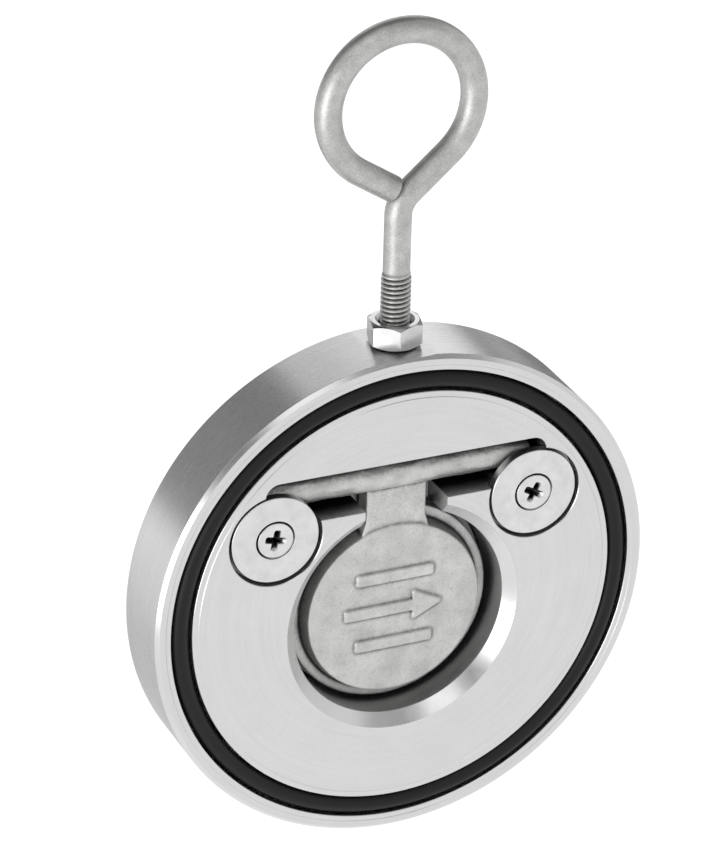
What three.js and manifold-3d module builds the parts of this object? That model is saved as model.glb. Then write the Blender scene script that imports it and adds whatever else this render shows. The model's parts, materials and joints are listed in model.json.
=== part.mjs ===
// Wafer check valve with a swinging disc, to be clamped between two pipe flanges.
//
// Millimetres. The origin is the centre of the round body. The pipe runs along Y and the
// flow leaves towards -Y, so the downstream face looks along -Y. +Z points up, along the
// stem of the lifting eye bolt, and the disc hangs from a bar that lies along X.

import * as THREE from 'three';
import { mergeVertices } from 'three/addons/utils/BufferGeometryUtils.js';
import Module from 'manifold-3d';

const wasm = await Module();
wasm.setup();

// ---------------------------------------------------------------- driving dimensions

const GAP = 0.3; // clearance between pieces that touch
const CUT = 1.0; // how far a cutter runs past the face that it opens

// Body: a short round wafer that fits inside the bolts of a DN 50 flange.
const BODY_R = 53.5;
const BODY_T = 17;
const BODY_CHAMFER = 0.8;
const FRONT = -BODY_T / 2; // y of the downstream face
const BACK = BODY_T / 2; // y of the upstream face

// Face seals: one O-ring in a round groove in each face.
const SEAL_R = 48; // radius of the ring's centre line
const SEAL_WIRE_R = 1.9;
const SEAL_PROUD = 0.2;
const SEAL_SINK = SEAL_WIRE_R - SEAL_PROUD; // face to the ring's centre
const GROOVE_HALF = SEAL_WIRE_R + GAP;
const GROOVE_DEPTH = SEAL_SINK + SEAL_WIRE_R + GAP;
const LIP_WIDTH = 1.25;
const LIP_DEPTH = 0.4;

// Bore: a recess for the disc, open downstream, with the port behind it.
const BORE_Z = -4.3;
const BORE_R = 23;
const BORE_CHAMFER = 2.3;
const SEAT_DEPTH = 13;
const PORT_R = 17.5;
const PORT_CHAMFER = 0.8;

// Hinge slot, with the channel that leads down from it to the bore.
const HINGE_Z = 25.8;
const HINGE_DEPTH = 5.9;
const SLOT_HALF = 30.5;
const SLOT_LOW = 21.2;
const SLOT_HIGH = 30.9;
const SLOT_CORNER = 3;
const SLOT_DEPTH = 9.3;
const LEDGE_X = 20; // from here out, under the washers, the bar's ends rest on a ledge
const LEDGE_HIGH = 22.4;
const CHANNEL_HALF = 8.9;

// Retaining washers and their countersunk screws.
const WASHER_X = 28.2;
const WASHER_Z = 18.5;
const WASHER_R = 9.35;
const WASHER_TOP = 0.3;
const WASHER_T = 2.2;
const WASHER_CHAMFER = 0.35;
const POCKET_R = 10;
const POCKET_DEPTH = WASHER_TOP + WASHER_T + GAP;
const HEAD_R = 3.75;
const HEAD_TOP = 0.2;
const HEAD_RIM = 0.3;
const SCREW_R = 2;
const SCREW_LENGTH = 10;
const CROSS_SPAN = 4.2;
const CROSS_WIDTH = 0.95;
const CROSS_DEPTH = 1.5;
const CROSS_TURN = { left: -12, right: -28 };

// Disc: a round boss in front of a seating flange, cast with its neck and hinge bar.
const DISC_Z = -4.7;
const BOSS_R = 18.8;
const BOSS_FOOT_R = 19.6;
const BOSS_DEPTH = 4.6;
const FLANGE_R = 21.8;
const FLANGE_DEPTH = 8;
const DISC_BACK = 12.2;
const EDGE = 0.4; // small edge chamfer
const BAR_R = 3;
const BAR_HALF = 29.5;
const BAR_TIP_R = 1.3;
const BAR_SHOULDER_R = 2.5;
const BAR_TAPER = 8;
const NECK_HALF = 6.55;
const NECK_FRONT = 5;
const NECK_BACK = 8.9;
const NECK_FOOT_Z = 8;
const NECK_FLARE = 1.5;

// Disc seal: an O-ring in a groove in the back of the disc.
const DISC_SEAL_R = 19.3;
const DISC_SEAL_WIRE_R = 1.325;
const DISC_SEAL_PROUD = 0.5;

// Raised marks on the boss: a plain bar above and below a flow arrow.
const MARK_HEIGHT = 0.5;
const MARK_SINK = 0.4;
const MARK_BAR = { length: 17, height: 2.6, offset: 7.6 };
const MARK_ARROW = { length: 22, shaft: 2.6, head: 7, headLength: 7 };

// Eye bolt: a rod screwed into the rim and bent round into a ring.
const THREAD_R = 3;
const THREAD_LOW = 41.3;
const THREAD_HIGH = 69;
const THREAD_CHAMFER = 0.7;
const ROD_R = 2.7;
const STEM_BEND_R = 6;
const STEM_BEND_Z = 83.5; // where the stem's line meets the first leg's line
const FIRST_LEG_TILT = 40.9; // degrees above the horizontal
const RING_Z = 103.9;
const RING_R = 15.4;
const LAST_LEG_TILT = 32.8;
const LAST_LEG_STOP = 2.35; // from the middle plane to the rod's cut end
const EYE_HOLE_FLOOR = 40.9;
const DRILL_TIP = 1.7;

// Lock nut, on a flat milled across the rim.
const NUT_FLAT_Z = 53.2;
const NUT_ACROSS_FLATS = 10;
const NUT_HEIGHT = 5;
const NUT_CHAMFER = 0.45;
const NUT_TURN = 12.3; // degrees from -Y towards -X of one corner

// Numbers of facets round each turned shape.
const FACETS = { body: 64, seal: 48, wire: 8, bore: 48, washer: 32, screw: 16, rod: 8 };

// ---------------------------------------------------------------- geometry helpers

const radians = THREE.MathUtils.degToRad;
const halfTurn = Math.PI;

// A closed, outward-facing solid from a three.js geometry.
function solid(geometry) {
  const bare = geometry.clone();
  bare.deleteAttribute('normal');
  bare.deleteAttribute('uv');
  const welded = mergeVertices(bare, 1e-5);
  return new wasm.Manifold(new wasm.Mesh({
    numProp: 3,
    vertProperties: new Float32Array(welded.attributes.position.array),
    triVerts: new Uint32Array(welded.index.array),
  }));
}

function geometryOf(body) {
  const mesh = body.getMesh();
  const geometry = new THREE.BufferGeometry();
  geometry.setAttribute('position', new THREE.BufferAttribute(mesh.vertProperties, 3));
  geometry.setIndex(new THREE.BufferAttribute(mesh.triVerts, 1));
  geometry.computeVertexNormals();
  return geometry;
}

function joined(first, ...others) {
  return others.reduce((sum, other) => sum.add(other), first);
}

function cut(blank, ...tools) {
  return tools.reduce((rest, tool) => rest.subtract(tool), blank);
}

// A solid turned about an axis parallel to Y. The profile is a list of [radius, y] that runs
// from the front to the back, along the outside.
function turned(profile, facets, x = 0, z = 0) {
  const points = profile.map(([radius, y]) => new THREE.Vector2(radius, y));
  const geometry = new THREE.LatheGeometry(points, facets);
  return solid(geometry.translate(x, 0, z));
}

// The same about an axis parallel to Z: the profile is [radius, z] from low to high.
function turnedUpright(profile, facets) {
  const points = profile.map(([radius, z]) => new THREE.Vector2(radius, z));
  return solid(new THREE.LatheGeometry(points, facets).rotateX(halfTurn / 2));
}

// The same about an axis parallel to X, at height z and position y.
function turnedAcross(profile, facets, y, z) {
  const points = profile.map(([radius, x]) => new THREE.Vector2(radius, x));
  const geometry = new THREE.LatheGeometry(points, facets).rotateZ(-halfTurn / 2);
  return solid(geometry.translate(0, y, z));
}

// A shape drawn in X and Z, running in y from one depth below the front face to another.
function plate(shape, fromDepth, toDepth) {
  const options = { depth: toDepth - fromDepth, bevelEnabled: false, curveSegments: 8 };
  const geometry = new THREE.ExtrudeGeometry(shape, options).rotateX(halfTurn / 2);
  return solid(geometry.translate(0, FRONT + toDepth, 0));
}

function rectangle(left, right, low, high) {
  const shape = new THREE.Shape();
  shape.moveTo(left, low);
  shape.lineTo(right, low);
  shape.lineTo(right, high);
  shape.lineTo(left, high);
  return shape;
}

function roundedRectangle(left, right, low, high, corner) {
  const shape = new THREE.Shape();
  const quarter = halfTurn / 2;
  shape.moveTo(left + corner, low);
  shape.absarc(right - corner, low + corner, corner, -quarter, 0);
  shape.absarc(right - corner, high - corner, corner, 0, quarter);
  shape.absarc(left + corner, high - corner, corner, quarter, 2 * quarter);
  shape.absarc(left + corner, low + corner, corner, 2 * quarter, 3 * quarter);
  return shape;
}

// An O-ring: a round wire bent into a circle about an axis parallel to Y.
function oRing(radius, wireRadius, y, z) {
  const profile = [];
  for (let step = 0; step <= FACETS.wire; step += 1) {
    const angle = (2 * halfTurn * (step % FACETS.wire)) / FACETS.wire;
    profile.push([radius + wireRadius * Math.sin(angle), y - wireRadius * Math.cos(angle)]);
  }
  return turned(profile, FACETS.seal, 0, z);
}

// ---------------------------------------------------------------- body

// The wafer's outline on one side: the groove with its lips, then the rim's chamfer.
function faceProfile(face, inward) {
  return [
    [0, face],
    [SEAL_R - GROOVE_HALF - LIP_WIDTH, face],
    [SEAL_R - GROOVE_HALF, face + inward * LIP_DEPTH],
    [SEAL_R - GROOVE_HALF, face + inward * GROOVE_DEPTH],
    [SEAL_R + GROOVE_HALF, face + inward * GROOVE_DEPTH],
    [SEAL_R + GROOVE_HALF, face + inward * LIP_DEPTH],
    [SEAL_R + GROOVE_HALF + LIP_WIDTH, face],
    [BODY_R - BODY_CHAMFER, face],
    [BODY_R, face + inward * BODY_CHAMFER],
  ];
}

function bodyBlank() {
  const profile = [...faceProfile(FRONT, 1), ...faceProfile(BACK, -1).reverse()];
  return turned(profile, FACETS.body);
}

function boreCutter() {
  const seat = FRONT + SEAT_DEPTH;
  return turned([
    [0, FRONT - CUT],
    [BORE_R + BORE_CHAMFER + CUT, FRONT - CUT],
    [BORE_R, FRONT + BORE_CHAMFER],
    [BORE_R, seat],
    [PORT_R, seat],
    [PORT_R, BACK - PORT_CHAMFER],
    [PORT_R + PORT_CHAMFER + CUT, BACK + CUT],
    [0, BACK + CUT],
  ], FACETS.bore, 0, BORE_Z);
}

function hingeSlotCutters() {
  const whole = roundedRectangle(-SLOT_HALF, SLOT_HALF, LEDGE_HIGH, SLOT_HIGH, SLOT_CORNER);
  const middle = rectangle(-LEDGE_X, LEDGE_X, SLOT_LOW, HINGE_Z);
  const channel = rectangle(-CHANNEL_HALF, CHANNEL_HALF, 0, HINGE_Z);
  return [whole, middle, channel].map((shape) => plate(shape, -CUT, SLOT_DEPTH));
}

function washerPocketCutter(x) {
  return turned([
    [0, FRONT - CUT],
    [POCKET_R, FRONT - CUT],
    [POCKET_R, FRONT + POCKET_DEPTH],
    [SCREW_R + GAP, FRONT + POCKET_DEPTH],
    [SCREW_R + GAP, FRONT + HEAD_TOP + SCREW_LENGTH + GAP],
    [0, FRONT + HEAD_TOP + SCREW_LENGTH + GAP],
  ], FACETS.washer, x, WASHER_Z);
}

function eyeHoleCutter() {
  return turnedUpright([
    [0, EYE_HOLE_FLOOR - DRILL_TIP],
    [THREAD_R + GAP, EYE_HOLE_FLOOR],
    [THREAD_R + GAP, BODY_R + CUT],
    [0, BODY_R + CUT],
  ], FACETS.washer);
}

function nutFlatCutter() {
  const shape = rectangle(-NUT_ACROSS_FLATS, NUT_ACROSS_FLATS, NUT_FLAT_Z, BODY_R + CUT);
  return plate(shape, -CUT, BODY_T + CUT);
}

function valveBody() {
  return cut(
    bodyBlank(),
    boreCutter(),
    ...hingeSlotCutters(),
    washerPocketCutter(-WASHER_X),
    washerPocketCutter(WASHER_X),
    eyeHoleCutter(),
    nutFlatCutter(),
  );
}

// ---------------------------------------------------------------- disc and its seal

function discRound() {
  const back = FRONT + DISC_BACK;
  const grooveHalf = DISC_SEAL_WIRE_R + GAP;
  const grooveFloor = back + DISC_SEAL_PROUD - 2 * DISC_SEAL_WIRE_R - GAP;
  return turned([
    [0, FRONT + BOSS_DEPTH],
    [BOSS_R - EDGE, FRONT + BOSS_DEPTH],
    [BOSS_R, FRONT + BOSS_DEPTH + EDGE],
    [BOSS_FOOT_R, FRONT + FLANGE_DEPTH],
    [FLANGE_R - EDGE, FRONT + FLANGE_DEPTH],
    [FLANGE_R, FRONT + FLANGE_DEPTH + EDGE],
    [FLANGE_R, back - EDGE],
    [FLANGE_R - EDGE, back],
    [DISC_SEAL_R + grooveHalf, back],
    [DISC_SEAL_R + grooveHalf, grooveFloor],
    [DISC_SEAL_R - grooveHalf, grooveFloor],
    [DISC_SEAL_R - grooveHalf, back],
    [0, back],
  ], FACETS.bore, 0, DISC_Z);
}

function hingeBar() {
  return turnedAcross([
    [0, -BAR_HALF],
    [BAR_TIP_R, -BAR_HALF],
    [BAR_SHOULDER_R, BAR_TAPER / 2 - BAR_HALF],
    [BAR_R, BAR_TAPER - BAR_HALF],
    [BAR_R, BAR_HALF - BAR_TAPER],
    [BAR_SHOULDER_R, BAR_HALF - BAR_TAPER / 2],
    [BAR_TIP_R, BAR_HALF],
    [0, BAR_HALF],
  ], FACETS.screw, FRONT + HINGE_DEPTH, HINGE_Z);
}

// The neck widens a little where it runs into the boss.
function neck() {
  const shape = new THREE.Shape();
  shape.moveTo(-NECK_HALF - NECK_FLARE, NECK_FOOT_Z);
  shape.lineTo(NECK_HALF + NECK_FLARE, NECK_FOOT_Z);
  shape.lineTo(NECK_HALF, DISC_Z + BOSS_R + NECK_FLARE);
  shape.lineTo(NECK_HALF, HINGE_Z);
  shape.lineTo(-NECK_HALF, HINGE_Z);
  shape.lineTo(-NECK_HALF, DISC_Z + BOSS_R + NECK_FLARE);
  return plate(shape, NECK_FRONT, NECK_BACK);
}

function mark(shape) {
  return plate(shape, BOSS_DEPTH - MARK_HEIGHT, BOSS_DEPTH + MARK_SINK);
}

function markBar(middleZ) {
  const { length, height } = MARK_BAR;
  const low = middleZ - height / 2;
  return mark(roundedRectangle(-length / 2, length / 2, low, low + height, height / 4));
}

function markArrow() {
  const { length, shaft, head, headLength } = MARK_ARROW;
  const shape = new THREE.Shape();
  const neckX = length / 2 - headLength;
  shape.moveTo(-length / 2, DISC_Z - shaft / 2);
  shape.lineTo(neckX, DISC_Z - shaft / 2);
  shape.lineTo(neckX, DISC_Z - head / 2);
  shape.lineTo(length / 2, DISC_Z);
  shape.lineTo(neckX, DISC_Z + head / 2);
  shape.lineTo(neckX, DISC_Z + shaft / 2);
  shape.lineTo(-length / 2, DISC_Z + shaft / 2);
  return mark(shape);
}

function disc() {
  return joined(
    discRound(),
    neck(),
    hingeBar(),
    markBar(DISC_Z + MARK_BAR.offset),
    markArrow(),
    markBar(DISC_Z - MARK_BAR.offset),
  );
}

function discSeal() {
  const y = FRONT + DISC_BACK + DISC_SEAL_PROUD - DISC_SEAL_WIRE_R;
  return oRing(DISC_SEAL_R, DISC_SEAL_WIRE_R, y, DISC_Z);
}

// ---------------------------------------------------------------- washers and screws

// Profile points down the countersunk head, from its rim to the start of the shank.
function headProfile(grown) {
  const coneTop = FRONT + HEAD_TOP + HEAD_RIM;
  const coneDepth = HEAD_R - SCREW_R;
  return { coneTop, coneDepth, rimRadius: HEAD_R + grown, shankRadius: SCREW_R + grown };
}

function retainingWasher(x) {
  const play = 1.5 * GAP;
  const { coneTop, coneDepth, rimRadius, shankRadius } = headProfile(play);
  const top = FRONT + WASHER_TOP;
  const bottom = top + WASHER_T;
  return turned([
    [rimRadius, top],
    [WASHER_R - WASHER_CHAMFER, top],
    [WASHER_R, top + WASHER_CHAMFER],
    [WASHER_R, bottom],
    [shankRadius, bottom],
    [shankRadius, coneTop + coneDepth],
    [rimRadius, coneTop],
    [rimRadius, top],
  ], FACETS.washer, x, WASHER_Z);
}

function crossRecess(x, turnDegrees) {
  const arms = [0, 1].map((arm) => {
    const shape = rectangle(-CROSS_SPAN / 2, CROSS_SPAN / 2, -CROSS_WIDTH / 2, CROSS_WIDTH / 2);
    const options = { depth: CROSS_DEPTH + CUT, bevelEnabled: false };
    const geometry = new THREE.ExtrudeGeometry(shape, options).rotateX(halfTurn / 2);
    geometry.rotateY(-radians(turnDegrees) + (arm * halfTurn) / 2);
    return solid(geometry.translate(x, FRONT + HEAD_TOP + CROSS_DEPTH, WASHER_Z));
  });
  return joined(...arms);
}

function washerScrew(x, turnDegrees) {
  const { coneTop, coneDepth, rimRadius, shankRadius } = headProfile(0);
  const tip = FRONT + HEAD_TOP + SCREW_LENGTH;
  const blank = turned([
    [0, FRONT + HEAD_TOP],
    [rimRadius - EDGE / 2, FRONT + HEAD_TOP],
    [rimRadius, FRONT + HEAD_TOP + EDGE / 2],
    [rimRadius, coneTop],
    [shankRadius, coneTop + coneDepth],
    [shankRadius, tip - EDGE],
    [shankRadius - EDGE, tip],
    [0, tip],
  ], FACETS.screw, x, WASHER_Z);
  return cut(blank, crossRecess(x, turnDegrees));
}

// ---------------------------------------------------------------- eye bolt and lock nut

// An arc in the plane y = 0, from one angle to another, in radians.
class Arc extends THREE.Curve {
  constructor(x, z, radius, from, to) {
    super();
    Object.assign(this, { x, z, radius, from, to });
  }

  getPoint(t, target = new THREE.Vector3()) {
    const angle = this.from + t * (this.to - this.from);
    const across = this.x + this.radius * Math.cos(angle);
    return target.set(across, 0, this.z + this.radius * Math.sin(angle));
  }
}

// The rod's centre line: up the stem, over to the right, round the ring and back to the stem.
function eyePath() {
  const at = (x, z) => new THREE.Vector3(x, 0, z);
  const first = radians(FIRST_LEG_TILT);
  const last = radians(LAST_LEG_TILT);
  const bendTurn = halfTurn / 2 - first;
  const bendReach = STEM_BEND_R * Math.tan(bendTurn / 2);
  const bendLow = STEM_BEND_Z - bendReach;
  const bend = new Arc(STEM_BEND_R, bendLow, STEM_BEND_R, halfTurn, halfTurn - bendTurn);
  const ring = new Arc(0, RING_Z, RING_R, first - halfTurn / 2, (3 * halfTurn) / 2 - last);
  const lastLegZ = RING_Z - RING_R / Math.cos(last);
  const end = at(-LAST_LEG_STOP * Math.cos(last), lastLegZ + LAST_LEG_STOP * Math.sin(last));
  const path = new THREE.CurvePath();
  path.add(new THREE.LineCurve3(at(0, THREAD_HIGH - CUT), at(0, bendLow)));
  path.add(bend);
  path.add(new THREE.LineCurve3(bend.getPoint(1), ring.getPoint(0)));
  path.add(ring);
  path.add(new THREE.LineCurve3(ring.getPoint(1), end));
  return path;
}

function rod() {
  const stepLength = 2;
  const path = eyePath();
  const section = new THREE.Shape();
  for (let side = 0; side < FACETS.rod; side += 1) {
    const angle = (2 * halfTurn * side) / FACETS.rod;
    section.lineTo(ROD_R * Math.cos(angle), ROD_R * Math.sin(angle));
  }
  const steps = Math.round(path.getLength() / stepLength);
  return solid(new THREE.ExtrudeGeometry(section, { steps, extrudePath: path }));
}

function eyeBolt() {
  const thread = turnedUpright([
    [0, THREAD_LOW],
    [THREAD_R - THREAD_CHAMFER, THREAD_LOW],
    [THREAD_R, THREAD_LOW + THREAD_CHAMFER],
    [THREAD_R, THREAD_HIGH - THREAD_CHAMFER],
    [ROD_R, THREAD_HIGH],
    [0, THREAD_HIGH],
  ], FACETS.screw);
  return joined(thread, rod());
}

function lockNut() {
  const low = NUT_FLAT_Z + GAP;
  const high = low + NUT_HEIGHT;
  const flat = NUT_ACROSS_FLATS / 2;
  const corner = flat / Math.cos(halfTurn / 6);
  const hole = THREAD_R + GAP;
  const hexagon = new THREE.CylinderGeometry(corner, corner, NUT_HEIGHT, 6);
  hexagon.rotateX(halfTurn / 2).rotateZ(-radians(NUT_TURN));
  const cornerShaper = turnedUpright([
    [0, low],
    [flat, low],
    [corner + NUT_CHAMFER, low + NUT_CHAMFER],
    [corner + NUT_CHAMFER, high - NUT_CHAMFER],
    [flat, high],
    [0, high],
  ], FACETS.washer);
  const holeCutter = turnedUpright([
    [0, low - CUT],
    [hole + NUT_CHAMFER + CUT, low - CUT],
    [hole, low + NUT_CHAMFER],
    [hole, high - NUT_CHAMFER],
    [hole + NUT_CHAMFER + CUT, high + CUT],
    [0, high + CUT],
  ], FACETS.screw);
  const blank = solid(hexagon.translate(0, 0, (low + high) / 2));
  return blank.intersect(cornerShaper).subtract(holeCutter);
}

// ---------------------------------------------------------------- materials

const metal = (color, roughness) => new THREE.MeshStandardMaterial({ color, roughness, metalness: 1 });

const turnedSteel = () => metal(0xc9cac8, 0.32);
const castSteel = () => metal(0xaeb0ad, 0.55);
const washerSteel = () => metal(0xc4c5c4, 0.38);
const screwSteel = () => metal(0xb9bab8, 0.3);
const bentRodSteel = () => metal(0xb5b5b2, 0.5);
const nutSteel = () => metal(0xbfc0be, 0.3);
const blackRubber = () => new THREE.MeshStandardMaterial({ color: 0x161616, roughness: 0.7 });

// ---------------------------------------------------------------- the assembly

const valve = new THREE.Group();
valve.name = 'wafer_check_valve';

function add(name, body, material, parent = valve) {
  const mesh = new THREE.Mesh(geometryOf(body), material);
  mesh.name = name;
  parent.add(mesh);
}

add('valve_body', valveBody(), turnedSteel());
add('downstream_face_seal', oRing(SEAL_R, SEAL_WIRE_R, FRONT + SEAL_SINK, 0), blackRubber());
add('upstream_face_seal', oRing(SEAL_R, SEAL_WIRE_R, BACK - SEAL_SINK, 0), blackRubber());

for (const [side, x] of [['left', -WASHER_X], ['right', WASHER_X]]) {
  add(`${side}_retaining_washer`, retainingWasher(x), washerSteel());
  add(`${side}_washer_screw`, washerScrew(x, CROSS_TURN[side]), screwSteel());
}

const swingingDisc = new THREE.Group();
valve.add(swingingDisc);
add('disc', disc(), castSteel(), swingingDisc);
add('disc_seal', discSeal(), blackRubber(), swingingDisc);

const liftingEye = new THREE.Group();
valve.add(liftingEye);
add('eye_bolt', eyeBolt(), bentRodSteel(), liftingEye);
add('lock_nut', lockNut(), nutSteel(), liftingEye);

export default valve;
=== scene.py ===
"""Looks of the wafer check valve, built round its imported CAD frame.

The body, the disc and the small parts are rebuilt as fine meshes in the places that the frame gives them. Lengths
are millimetres in the row frame, and new_object() turns them into metres. The pipe runs along Y, the downstream face
looks along -Y, and depths are measured from that face into the body.
"""

import json
import math

import bmesh
import bpy
import numpy as np
from mathutils import Matrix, Vector, noise

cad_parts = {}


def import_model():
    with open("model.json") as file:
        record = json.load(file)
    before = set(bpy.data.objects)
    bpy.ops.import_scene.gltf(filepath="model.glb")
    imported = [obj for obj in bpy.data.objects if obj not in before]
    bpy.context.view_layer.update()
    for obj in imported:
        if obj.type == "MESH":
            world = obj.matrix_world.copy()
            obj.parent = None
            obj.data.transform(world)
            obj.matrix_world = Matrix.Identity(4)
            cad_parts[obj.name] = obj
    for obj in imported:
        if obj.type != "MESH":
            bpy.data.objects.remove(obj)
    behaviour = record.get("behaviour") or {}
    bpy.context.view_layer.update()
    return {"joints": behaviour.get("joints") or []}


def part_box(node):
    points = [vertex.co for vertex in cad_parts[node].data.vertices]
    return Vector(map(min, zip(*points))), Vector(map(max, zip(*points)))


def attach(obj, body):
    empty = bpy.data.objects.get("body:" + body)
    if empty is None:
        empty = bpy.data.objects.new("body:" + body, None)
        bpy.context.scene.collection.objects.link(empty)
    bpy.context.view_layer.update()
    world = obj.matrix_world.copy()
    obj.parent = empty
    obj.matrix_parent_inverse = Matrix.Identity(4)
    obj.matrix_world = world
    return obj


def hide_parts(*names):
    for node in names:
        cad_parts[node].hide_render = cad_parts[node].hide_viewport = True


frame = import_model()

MM = 0.001


def box_mm(node):
    """Lowest and highest corner of a CAD node, in millimetres."""
    low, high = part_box(node)
    return low / MM, high / MM


# ------------------------------------------------------------------ sizes that follow from the frame

BODY_LOW, BODY_HIGH = box_mm("valve_body")
FRONT = BODY_LOW.y
BACK = BODY_HIGH.y
THICKNESS = BACK - FRONT
RIM_R = BODY_HIGH.x
NUT_FLAT_Z = BODY_HIGH.z

SEAL_LOW, SEAL_HIGH = box_mm("downstream_face_seal")
SEAL_WIRE_R = (SEAL_HIGH.y - SEAL_LOW.y) / 2
SEAL_R = SEAL_HIGH.x - SEAL_WIRE_R

DISC_SEAL_LOW, DISC_SEAL_HIGH = box_mm("disc_seal")
DISC_SEAL_WIRE_R = (DISC_SEAL_HIGH.y - DISC_SEAL_LOW.y) / 2
DISC_SEAL_R = DISC_SEAL_HIGH.x - DISC_SEAL_WIRE_R
DISC_Z = (DISC_SEAL_LOW.z + DISC_SEAL_HIGH.z) / 2

EYE_LOW, EYE_HIGH = box_mm("eye_bolt")
THREAD_R = (EYE_HIGH.y - EYE_LOW.y) / 2

HINGE = next(joint for joint in frame["joints"] if joint["name"] == "disc_swing")
HINGE_DEPTH = HINGE["pos_m"][1] / MM - FRONT
HINGE_Z = HINGE["pos_m"][2] / MM

# ------------------------------------------------------------------ sizes of the body's cuts

GAP = 0.3  # between a cut and what lies in it
PORT_R = 17.5
BORE_Z = -4.3
BORE_R = 23
BORE_CHAMFER = 2.3
SEAT_DEPTH = 13
SLOT_HALF = 30.5
SLOT_LOW = 21.2
SLOT_HIGH = 30.9
SLOT_CORNER = 3
SLOT_DEPTH = 9.3
LEDGE_X = 20
LEDGE_HIGH = 22.4
CHANNEL_HALF = 8.9
POCKET_R = 10.0
POCKET_EDGE = 0.12
SCREW_HOLE_R = 2.3
EYE_HOLE_COUNTERSINK = 0.9
NUT_FLAT_HALF = 10
PORT_CHAMFER = 0.8
CLEAR = 1  # how far a cutting tool stands out of the surface that it cuts

ROUND_SEGMENTS = 256
SMALL_SEGMENTS = 96
ON_AXIS = 1e-6  # a smaller radius than this is a point on the axis
WELD_M = 1e-7  # points closer than this, in metres, are one


# ------------------------------------------------------------------ numbers and outlines


def unit(value):
    """A number kept between 0 and 1."""
    return min(1.0, max(0.0, value))


def ramp(values, start, end):
    """An array that rises from 0 where its values reach start to 1 where they reach end."""
    return np.clip((values - start) / (end - start), 0, 1)


def rounded(corners, closed=False, steps=4):
    """Points of an outline whose corners, (u, v, radius), are rounded with arcs of that radius."""
    points = []
    count = len(corners)
    for index, (u, v, radius) in enumerate(corners):
        here = Vector((u, v))
        inner = closed or 0 < index < count - 1
        if radius <= 0 or not inner:
            points.append(here)
            continue
        before = Vector(corners[index - 1][:2]) - here
        after = Vector(corners[(index + 1) % count][:2]) - here
        before.normalize()
        after.normalize()
        half = before.angle(after) / 2
        reach = radius / math.tan(half)
        bisector = (before + after).normalized()
        centre = here + bisector * (radius / math.sin(half))
        first = here + before * reach - centre
        last = here + after * reach - centre
        turn = first.angle_signed(last)
        for step in range(steps + 1):
            points.append(centre + Matrix.Rotation(-turn * step / steps, 2) @ first)
    return [tuple(point) for point in points]


def rounded_rectangle(left, right, low, high, corner, steps=8):
    corners = [(left, low, corner), (right, low, corner), (right, high, corner), (left, high, corner)]
    return rounded(corners, closed=True, steps=steps)


def circle(radius, segments, x=0, z=0):
    angles = [2 * math.pi * step / segments for step in range(segments)]
    return [(x + radius * math.cos(angle), z + radius * math.sin(angle)) for angle in angles]


# ------------------------------------------------------------------ meshes


def new_object(name, points, faces):
    """A mesh object from points in millimetres, with its faces turned outwards."""
    mesh = bpy.data.meshes.new(name)
    mesh.from_pydata([Vector(point) * MM for point in points], [], faces)
    work = bmesh.new()
    work.from_mesh(mesh)
    bmesh.ops.recalc_face_normals(work, faces=work.faces)
    work.to_mesh(mesh)
    work.free()
    obj = bpy.data.objects.new(name, mesh)
    bpy.context.scene.collection.objects.link(obj)
    return obj


AXIS_POINT = {
    "X": lambda across, up, along: (along, across, up),
    "Y": lambda across, up, along: (across, along, up),
    "Z": lambda across, up, along: (across, up, along),
}


def lathe(name, profile, segments, axis="Y", centre=(0, 0, 0), closed=False):
    """A solid of revolution. The profile is a list of (radius, place along the axis)."""
    points = []
    rings = []
    place = AXIS_POINT[axis]
    for radius, along in profile:
        if radius < ON_AXIS:
            points.append(place(0, 0, along))
            rings.append([len(points) - 1] * segments)
            continue
        ring = []
        for across, up in circle(radius, segments):
            ring.append(len(points))
            points.append(place(across, up, along))
        rings.append(ring)
    if closed:
        rings.append(rings[0])
    faces = []
    for low, high in zip(rings, rings[1:]):
        for index in range(segments):
            after = (index + 1) % segments
            corners = [low[index], low[after], high[after], high[index]]
            face = list(dict.fromkeys(corners))
            if len(face) > 2:
                faces.append(face)
    shift = Vector(centre)
    return new_object(name, [Vector(point) + shift for point in points], faces)


def loft(name, loops):
    """A solid through loops of points, all with the same number of points, closed at both ends."""
    count = len(loops[0])
    points = [point for loop in loops for point in loop]
    faces = [list(range(count)), [len(points) - count + index for index in range(count)]]
    for level in range(len(loops) - 1):
        for index in range(count):
            after = (index + 1) % count
            low = level * count
            high = low + count
            faces.append([low + index, low + after, high + after, high + index])
    return new_object(name, points, faces)


def cutter(name, outline, depth, mouth=0.25, floor=0.25, steps=4):
    """A tool that cuts an outline from the front face down to a depth, and rounds the edges of its mouth and floor.
    outline(grow) gives the outline's points, that much larger all round."""
    levels = [(-CLEAR, mouth)]
    for step in range(steps + 1):
        angle = math.pi / 2 * (1 - step / steps)
        levels.append((mouth * (1 - math.sin(angle)), mouth * (1 - math.cos(angle))))
    for step in range(steps + 1):
        angle = math.pi / 2 * step / steps
        levels.append((depth - floor * (1 - math.sin(angle)), -floor * (1 - math.cos(angle))))
    loops = [[(x, FRONT + level, z) for x, z in outline(grow)] for level, grow in levels]
    return loft(name, loops)


def evaluated_mesh(obj):
    graph = bpy.context.evaluated_depsgraph_get()
    return bpy.data.meshes.new_from_object(obj.evaluated_get(graph))


def bake_modifiers(obj):
    """Applies an object's modifiers to its mesh."""
    old = obj.data
    obj.data = evaluated_mesh(obj)
    obj.modifiers.clear()
    obj.data.name = obj.name
    bpy.data.meshes.remove(old)


def combine(obj, tools, operation="DIFFERENCE"):
    """Cuts, joins or crosses an object with tools, which are then removed."""
    for tool in tools:
        modifier = obj.modifiers.new("combine", "BOOLEAN")
        modifier.object = tool
        modifier.operation = operation
        modifier.solver = "MANIFOLD"
        bake_modifiers(obj)
        bpy.data.objects.remove(tool)
    return obj


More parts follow.
